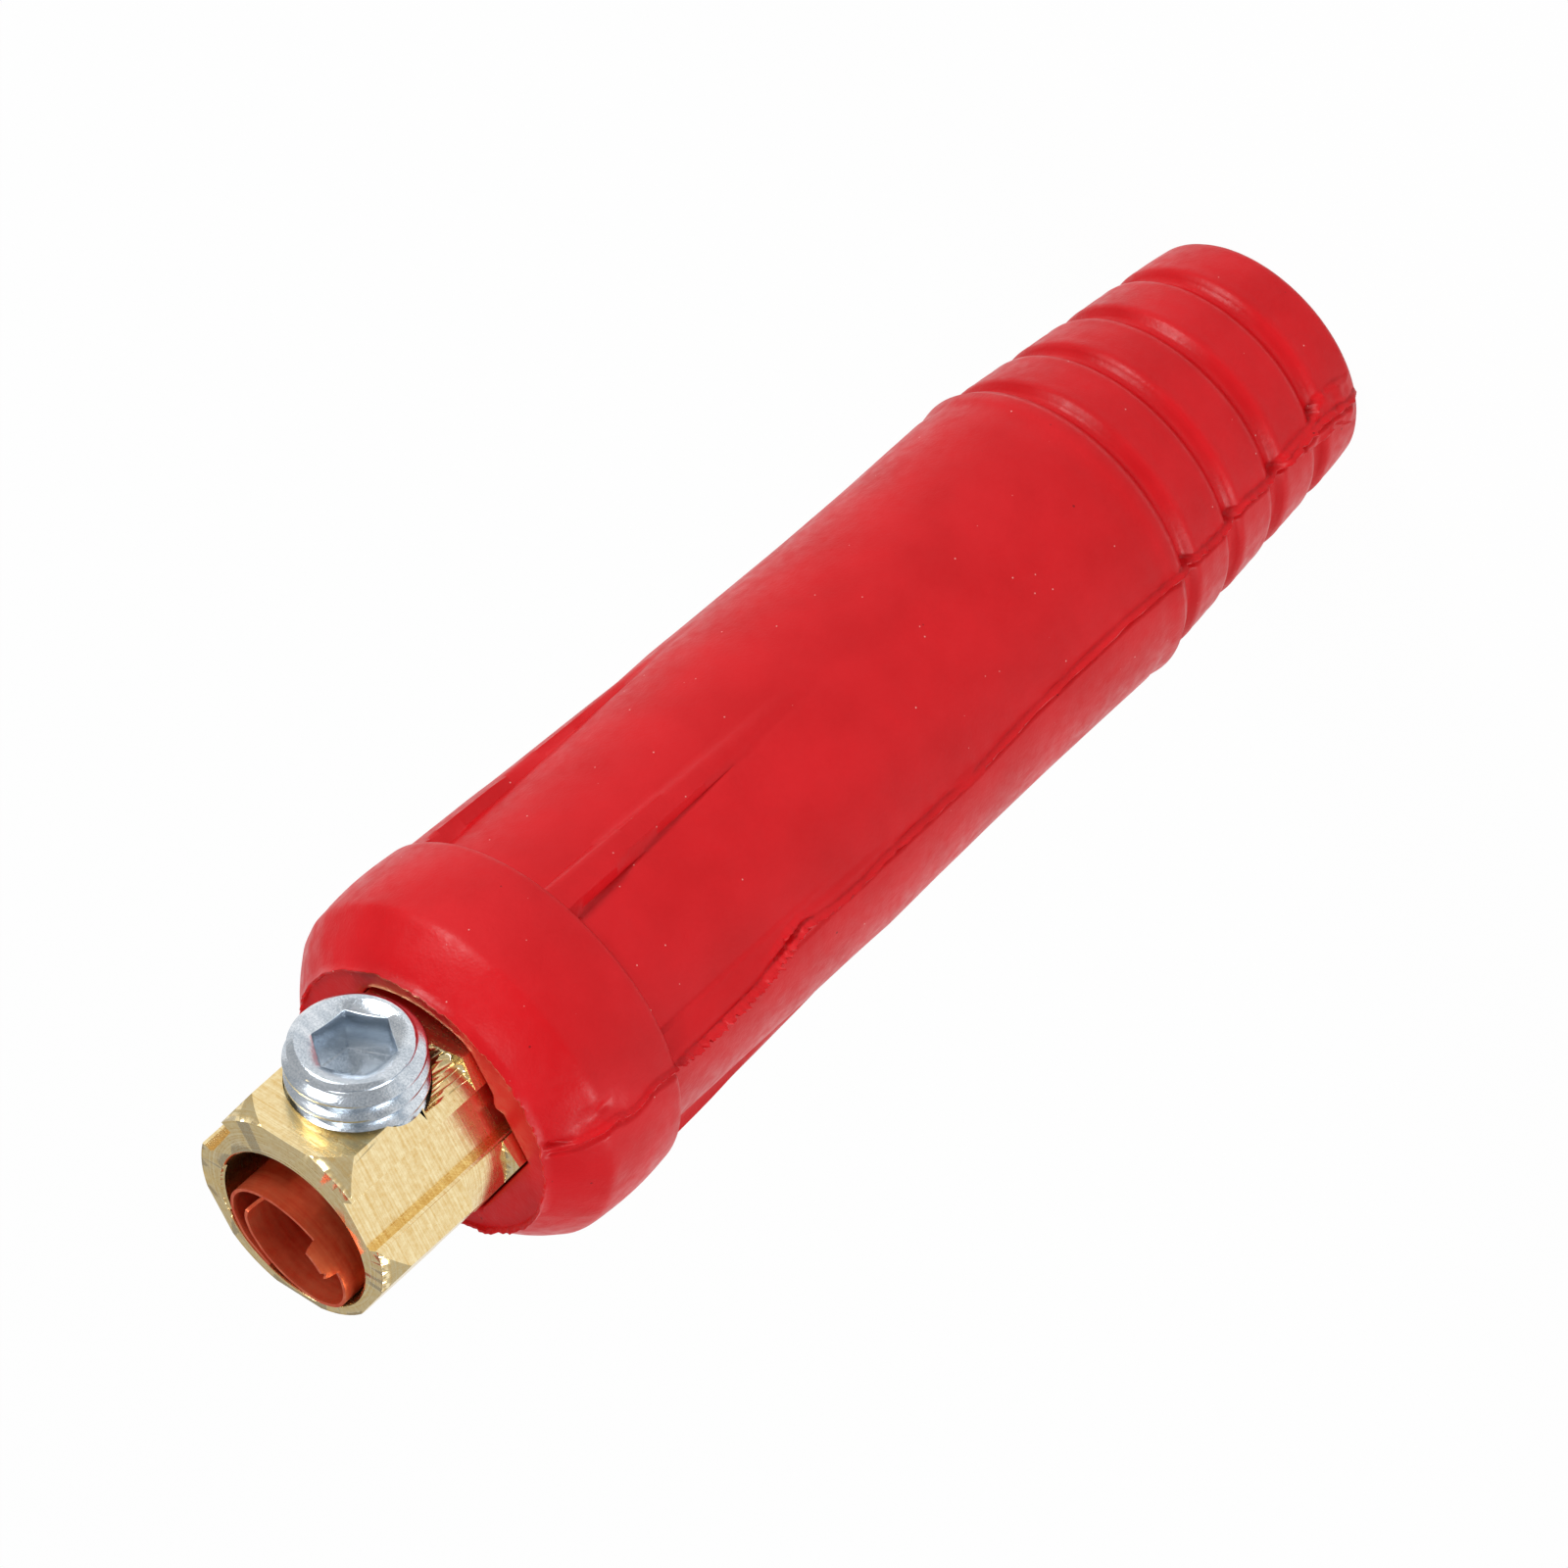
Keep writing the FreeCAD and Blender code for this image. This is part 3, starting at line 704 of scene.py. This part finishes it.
def moulded_rubber():
    """Natural rubber from the mould: red and satin, with fine grain, faint clouds, wrinkles and dust."""
    material, tree = new_material("moulded_red_rubber")
    where = {"Vector": add_node(tree, "ShaderNodeTexCoord").outputs["Object"]}
    clouds = add_node(tree, "ShaderNodeTexNoise", {"Scale": per_mm(CLOUD_SIZE)}, where)
    cloudy = add_node(tree, "ShaderNodeMapRange", {"From Min": 0.35, "From Max": 0.65},
                      {"Value": clouds.outputs["Fac"]})
    reds = {"Color1": from_hex(RUBBER_DEEP), "Color2": from_hex(RUBBER_PALE)}
    red = add_node(tree, "ShaderNodeMixRGB", reds, {"Fac": cloudy.outputs[0]})
    # Pale dust of about 0.15 mm and fewer dark specks: cells whose centre lies close to the surface.
    dust = add_node(tree, "ShaderNodeTexVoronoi", {"Scale": per_mm(DUST_SPACING)}, where)
    near_dust = {"From Min": 0.02, "From Max": 0.045, "To Min": 0.7, "To Max": 0.0}
    dusty = add_node(tree, "ShaderNodeMapRange", near_dust, {"Value": dust.outputs["Distance"]})
    dusted = add_node(tree, "ShaderNodeMixRGB", {"Color2": from_hex(DUST_COLOUR)},
                      {"Fac": dusty.outputs[0], "Color1": red.outputs[0]})
    specks = add_node(tree, "ShaderNodeTexVoronoi", {"Scale": per_mm(SPECK_SPACING)}, where)
    near_speck = {"From Min": 0.02, "From Max": 0.035, "To Min": 0.7, "To Max": 0.0}
    specked = add_node(tree, "ShaderNodeMapRange", near_speck, {"Value": specks.outputs["Distance"]})
    colour = add_node(tree, "ShaderNodeMixRGB", {"Color2": from_hex(SPECK_COLOUR)},
                      {"Fac": specked.outputs[0], "Color1": dusted.outputs[0]})
    patches = add_node(tree, "ShaderNodeTexNoise", {"Scale": per_mm(SHEEN_SIZE)}, where)
    satin = {"From Min": 0.3, "From Max": 0.7, "To Min": 0.3, "To Max": 0.46}
    sheen = add_node(tree, "ShaderNodeMapRange", satin, {"Value": patches.outputs["Fac"]})
    wrinkles = add_node(tree, "ShaderNodeTexNoise", {"Scale": per_mm(WRINKLE_SIZE)}, where)
    wrinkled = add_node(tree, "ShaderNodeBump", {"Distance": WRINKLE_HEIGHT * MM},
                        {"Height": wrinkles.outputs["Fac"]})
    fine = add_node(tree, "ShaderNodeTexNoise", {"Scale": per_mm(GRAIN_SIZE), "Detail": 3.0}, where)
    grained = add_node(tree, "ShaderNodeBump", {"Distance": GRAIN_HEIGHT * MM},
                       {"Height": fine.outputs["Fac"], "Normal": wrinkled.outputs[0]})
    surface = {"Base Color": colour.outputs[0], "Roughness": sheen.outputs[0], "Normal": grained.outputs[0]}
    shine = {"Specular IOR Level": RUBBER_SPECULAR}
    finish_material(tree, add_node(tree, "ShaderNodeBsdfPrincipled", shine, surface))
    return material


# How far a tool mark runs along a side before it changes, and how squarely up an end face looks.
MARK_LENGTH = 9.0
END_FACE_UP = (0.85, 0.95)


def tool_marks(tree, coordinates, pitch):
    """Fine marks of this pitch in millimetres: level lines on the sides, and rings on the end face."""
    where = {"Vector": coordinates.outputs["Object"]}
    fine = {"Scale": 1.0, "Detail": 2.0}
    along_sides = (per_mm(MARK_LENGTH), per_mm(MARK_LENGTH), per_mm(pitch))
    sides = add_node(tree, "ShaderNodeMapping", {"Scale": along_sides}, where)
    lines = add_node(tree, "ShaderNodeTexNoise", fine, {"Vector": sides.outputs[0]})
    across_end = (per_mm(pitch), per_mm(pitch), 0.0)
    end = add_node(tree, "ShaderNodeMapping", {"Scale": across_end}, where)
    radius = add_node(tree, "ShaderNodeVectorMath", links={0: end.outputs[0]}, operation="LENGTH")
    rings = add_node(tree, "ShaderNodeTexNoise", fine, {"W": radius.outputs["Value"]}, noise_dimensions="1D")
    facing = add_node(tree, "ShaderNodeSeparateXYZ", links={0: coordinates.outputs["Normal"]})
    upward = add_node(tree, "ShaderNodeMapRange", {"From Min": END_FACE_UP[0], "From Max": END_FACE_UP[1]},
                      {"Value": facing.outputs["Z"]})
    return add_node(tree, "ShaderNodeMixRGB", links={
        "Fac": upward.outputs[0], "Color1": lines.outputs["Fac"], "Color2": rings.outputs["Fac"]}).outputs[0]


def bare_metal(name, dark, pale, marks_pitch, grit, rough, marks_depth, grit_depth, metallic=1.0):
    """A metal whose tool marks and grit change its colour, its roughness and its surface."""
    material, tree = new_material(name)
    coordinates = add_node(tree, "ShaderNodeTexCoord")
    marks = tool_marks(tree, coordinates, marks_pitch)
    coarse = {"Scale": per_mm(grit), "Detail": 4.0, "Roughness": 0.65}
    gritty = add_node(tree, "ShaderNodeTexNoise", coarse, {"Vector": coordinates.outputs["Object"]})
    both = add_node(tree, "ShaderNodeMixRGB", {"Fac": 0.5},
                    {"Color1": marks, "Color2": gritty.outputs["Fac"]})
    tone = add_node(tree, "ShaderNodeMapRange", {"From Min": 0.36, "From Max": 0.64},
                    {"Value": both.outputs[0]})
    tones = {"Color1": from_hex(dark), "Color2": from_hex(pale)}
    colour = add_node(tree, "ShaderNodeMixRGB", tones, {"Fac": tone.outputs[0]})
    duller = {"To Min": rough[1], "To Max": rough[0]}
    dull = add_node(tree, "ShaderNodeMapRange", duller, {"Value": tone.outputs[0]})
    marked = add_node(tree, "ShaderNodeBump", {"Distance": marks_depth * MM}, {"Height": marks})
    pitted = add_node(tree, "ShaderNodeBump", {"Distance": grit_depth * MM},
                      {"Height": gritty.outputs["Fac"], "Normal": marked.outputs[0]})
    finish_material(tree, add_node(tree, "ShaderNodeBsdfPrincipled", {"Metallic": metallic}, {
        "Base Color": colour.outputs[0], "Roughness": dull.outputs[0], "Normal": pitted.outputs[0]}))
    return material


def machined_brass():
    """Free-cutting brass bar, milled and turned: warm and bright, with fine lines across its flats."""
    return bare_metal("machined_brass", "#E6C482", "#FFEDBC", marks_pitch=0.2, grit=0.5,
                      rough=(0.16, 0.3), marks_depth=0.006, grit_depth=0.004)


def zinc_plated_steel():
    """Zinc over the rough skin of a rolled screw: bluish white, gritty, with dark pores."""
    return bare_metal("zinc_plated_steel", "#A9B5C1", "#F0F5FA", marks_pitch=1.5, grit=0.16,
                      rough=(0.12, 0.22), marks_depth=0.002, grit_depth=0.014)


def copper_sheet():
    """Thin rolled copper sheet, slightly tarnished, so less metallic: red, smooth, with faint lines."""
    return bare_metal("rolled_copper", "#D84A28", "#F07A52", marks_pitch=0.5, grit=1.2,
                      rough=(0.3, 0.42), marks_depth=0.004, grit_depth=0.006, metallic=0.7)


def set_camera():
    """The photograph's view, as the scene's camera."""
    data = bpy.data.cameras.new("photo_camera")
    data.sensor_width = SENSOR_WIDTH
    data.lens = FOCAL_LENGTH
    data.clip_start = 0.01
    data.clip_end = 20.0
    camera = bpy.data.objects.new("photo_camera", data)
    camera.location = Vector(EYE) * MM
    camera.rotation_euler = Euler([math.radians(a) for a in EYE_TURN], "XYZ")
    bpy.context.scene.collection.objects.link(camera)
    bpy.context.scene.camera = camera


def area_light(name, place, target, size, power):
    """A soft rectangular lamp at a place, turned to a target, both in metres."""
    data = bpy.data.lights.new(name, "AREA")
    data.shape = "RECTANGLE"
    data.size, data.size_y = size
    data.energy = power
    lamp = bpy.data.objects.new(name, data)
    lamp.location = place
    lamp.rotation_euler = (Vector(target) - Vector(place)).to_track_quat("-Z", "Y").to_euler()
    bpy.context.scene.collection.objects.link(lamp)


def by_ray(tree, seen, mirrored, lighting):
    """A value that differs for what the camera sees, for what shiny things mirror and for plain lighting."""
    rays = add_node(tree, "ShaderNodeLightPath")
    mirroring = {0: rays.outputs["Is Glossy Ray"], 1: rays.outputs["Is Transmission Ray"]}
    shiny = add_node(tree, "ShaderNodeMath", links=mirroring, operation="MAXIMUM")
    unseen = add_node(tree, "ShaderNodeMapRange", {"To Min": lighting, "To Max": mirrored},
                      {"Value": shiny.outputs[0]})
    return add_node(tree, "ShaderNodeMapRange", {"To Max": seen}, {
        "Value": rays.outputs["Is Camera Ray"], "To Min": unseen.outputs[0]}).outputs[0]


def lay_floor():
    """A plain white floor: almost all of it shows as white, and a thin share of the shadow stays."""
    deselect()
    bpy.ops.mesh.primitive_plane_add(size=FLOOR_SIZE, location=(0, 0, -FLOOR_DROP * MM))
    floor = bpy.context.object
    floor.name = "studio_floor"
    material, tree = new_material("white_studio_floor")
    matt = add_node(tree, "ShaderNodeBsdfDiffuse", {"Color": (0.8, 0.8, 0.8, 1)})
    white = add_node(tree, "ShaderNodeEmission", {"Color": (1, 1, 1, 1), "Strength": 1.0})
    share = by_ray(tree, *FLOOR_WHITENESS)
    shaders = {0: share, 1: matt.outputs[0], 2: white.outputs[0]}
    finish_material(tree, add_node(tree, "ShaderNodeMixShader", links=shaders))
    floor.data.materials.append(material)


def set_lights():
    """The white room and the soft lamps."""
    world = bpy.data.worlds.new("white_studio")
    world.use_nodes = True
    tree = world.node_tree
    tree.nodes["Background"].inputs["Color"].default_value = (1, 1, 1, 1)
    tree.links.new(by_ray(tree, *ROOM_LEVELS), tree.nodes["Background"].inputs["Strength"])
    bpy.context.scene.world = world
    for name, place, size, power in LAMPS:
        area_light(name, place, LAMP_TARGET, size, power)


def dress(piece, node, body, material):
    """The piece stands for a CAD node, rides on that node's body and takes its material."""
    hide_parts(node)
    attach(piece, body)
    piece.data.materials.clear()
    piece.data.materials.append(material)


dress(model_boot(), "rubber_boot", "boot", moulded_rubber())
dress(model_core(), "brass_core", "core", machined_brass())
dress(model_screw(), "set_screw", "screw", zinc_plated_steel())
dress(model_liner(), "copper_liner", "core", copper_sheet())

bpy.context.scene.view_settings.view_transform = "Standard"
set_camera()
set_lights()
lay_floor()
